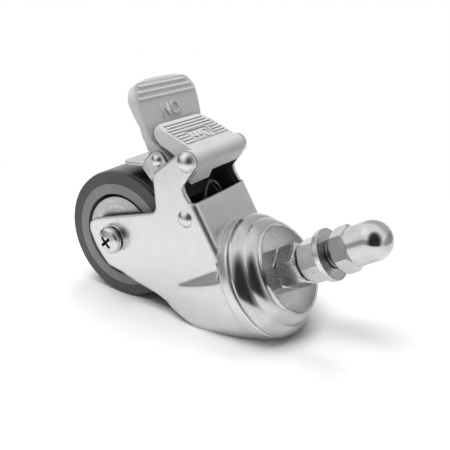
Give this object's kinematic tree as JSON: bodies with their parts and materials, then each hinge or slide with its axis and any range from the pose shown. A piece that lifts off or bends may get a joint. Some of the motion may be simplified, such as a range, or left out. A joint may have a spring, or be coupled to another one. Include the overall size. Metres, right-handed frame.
{
  "type": "castor wheel",
  "caption": "Swivel castor with a threaded stem, hex nuts and dome nut, pressed fork, twin-pedal brake and rubber-tyred wheel.",
  "frame": {"origin": "on the swivel axis, in the outer face of the large washer that bears on the panel", "axes": "+Z out along the stem, +X to the trailing side where the pedals are, +Y to the side of the axle screw's head"},
  "size_m": [0.1334, 0.0619, 0.1539],
  "materials": {
    "polished_steel": "polished",
    "satin_steel": "satin",
    "nut_steel": "bright machined",
    "thread_steel": "threaded, dull",
    "fork_sheet": "fine bead-blasted satin",
    "dust_cap_steel": "satin",
    "rim_plastic": "matte",
    "tyre_rubber": "matte",
    "pedal_plastic": "smooth moulded"
  },
  "bodies": {
    "head": {"stem": "thread_steel", "swivel_cap": "polished_steel", "head_disc": "satin_steel", "lower_nut": "nut_steel", "middle_nut": "nut_steel", "upper_nut": "nut_steel", "seat_washer": "nut_steel", "dome_nut": "polished_steel", "upper_balls": "polished_steel", "lower_balls": "polished_steel", "lower_race": "satin_steel", "kingpin_nut": "nut_steel"},
    "fork": {"fork": "fork_sheet", "axle_screw": "polished_steel", "axle_washers": "nut_steel", "axle_spring_washer": "thread_steel", "axle_nut": "nut_steel", "axle_sleeve": "satin_steel", "bearing_spacer": "satin_steel", "hub_spacers": "satin_steel", "near_dust_cap": "dust_cap_steel", "far_dust_cap": "dust_cap_steel", "bearing_inner_rings": "polished_steel", "bearing_balls": "polished_steel", "lever_pin": "polished_steel", "off_pedal_pin": "polished_steel"},
    "wheel": {"bearing_outer_rings": "polished_steel", "wheel_rim": "rim_plastic", "tyre": "tyre_rubber"},
    "lever": {"brake_lever": "fork_sheet", "on_pedal_pin": "polished_steel", "return_spring": "satin_steel"},
    "brake_pedal": {"on_pedal": "pedal_plastic"},
    "release_pedal": {"off_pedal": "pedal_plastic"}
  },
  "joints": [
    {"name": "swivel", "type": "hinge", "parent": "head", "child": "fork", "pos_m": [0, 0, 0], "axis": [0, 0, 1], "continuous": true},
    {"name": "wheel_spin", "type": "hinge", "parent": "fork", "child": "wheel", "pos_m": [0.0452, 0, -0.0934], "axis": [0, 1, 0], "continuous": true},
    {"name": "lever_tilt", "type": "hinge", "parent": "fork", "child": "lever", "pos_m": [0.0396, 0, -0.0476], "axis": [0, 1, 0], "range_deg": [0, 4]},
    {"name": "brake_pedal_tilt", "type": "hinge", "parent": "lever", "child": "brake_pedal", "pos_m": [0.0683, 0, -0.0497], "axis": [0, 1, 0], "range_deg": [0, 20]},
    {"name": "release_pedal_tilt", "type": "hinge", "parent": "fork", "child": "release_pedal", "pos_m": [0.0615, 0, -0.0341], "axis": [0, 1, 0], "range_deg": [-20, 0]}
  ],
  "couplings": [
    {"joint": "lever_tilt", "follows": "brake_pedal_tilt", "ratio": 0.2},
    {"joint": "release_pedal_tilt", "follows": "brake_pedal_tilt", "ratio": -1}
  ]
}
